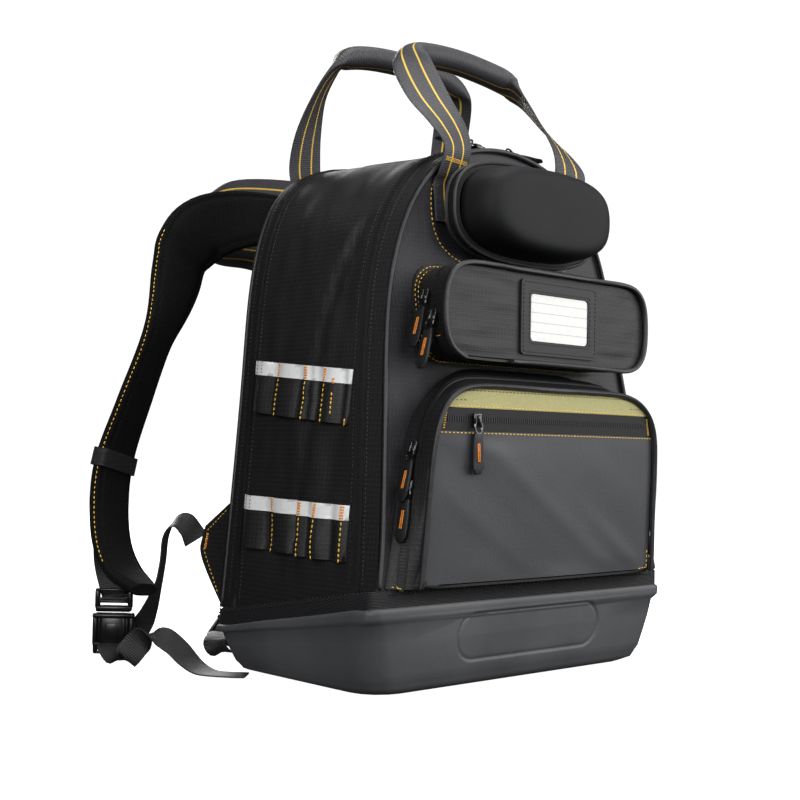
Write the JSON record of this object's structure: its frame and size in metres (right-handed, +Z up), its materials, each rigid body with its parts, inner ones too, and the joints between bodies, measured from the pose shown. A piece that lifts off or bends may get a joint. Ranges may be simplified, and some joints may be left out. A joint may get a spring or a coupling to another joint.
{
  "type": "tool backpack",
  "caption": "Upright tool backpack with a moulded base, front pockets, a glasses case, side tool loops, top handles and padded shoulder straps.",
  "frame": {"origin": "on the floor, at the middle of the underside of the base tray", "axes": "+X to the right as seen from the front, +Y from the front to the wearer's side, +Z up"},
  "size_m": [0.4646, 0.4237, 0.5982],
  "materials": {
    "moulded_base": "fine matt grain",
    "body_cloth": "matt ripstop",
    "back_padding": "air mesh",
    "webbing": "ribbed webbing",
    "piping": "satin",
    "zip": "satin",
    "hardware": "gloss",
    "coated_cloth": "satin coated",
    "accent_cloth": "matt",
    "reflective_tape": "satin",
    "window_vinyl": "satin",
    "card": "smooth",
    "moulded_case": "matt"
  },
  "bodies": {
    "root": {"base_tray": "moulded_base", "base_trim": "webbing", "handle_front": "webbing", "handle_rear": "webbing", "haul_loop": "webbing", "strap_keeper_left": "webbing", "strap_keeper_right": "webbing", "strap_webbing_left": "webbing", "strap_webbing_right": "webbing", "lower_webbing_left": "webbing", "lower_webbing_right": "webbing", "side_gusset": "body_cloth", "front_panel": "body_cloth", "pocket_gusset": "body_cloth", "pocket_zip_band": "body_cloth", "pod_backing": "body_cloth", "pod_gusset": "body_cloth", "pod_face": "body_cloth", "wing_left": "body_cloth", "wing_right": "body_cloth", "upper_loops_left": "body_cloth", "upper_loops_right": "body_cloth", "lower_loops_left": "body_cloth", "lower_loops_right": "body_cloth", "back_panel": "back_padding", "shoulder_pad_left": "back_padding", "shoulder_pad_right": "back_padding", "front_piping": "piping", "rear_piping": "piping", "pocket_piping": "piping", "pod_piping": "piping", "main_zip": "zip", "rear_zip": "zip", "pocket_side_zip": "zip", "case_zip": "zip", "main_zip_pull_left": "hardware", "main_zip_pull_right": "hardware", "pocket_front_pull": "hardware", "pocket_side_pull_upper": "hardware", "pocket_side_pull_lower": "hardware", "pod_pull_upper": "hardware", "pod_pull_lower": "hardware", "buckle_left": "hardware", "buckle_right": "hardware", "pocket_panel": "coated_cloth", "pocket_top_band": "accent_cloth", "upper_reflector_left": "reflective_tape", "upper_reflector_right": "reflective_tape", "lower_reflector_left": "reflective_tape", "lower_reflector_right": "reflective_tape", "pod_window_frame": "window_vinyl", "pod_card": "card", "case_rear_half": "moulded_case", "case_front_half": "moulded_case"}
  },
  "joints": []
}
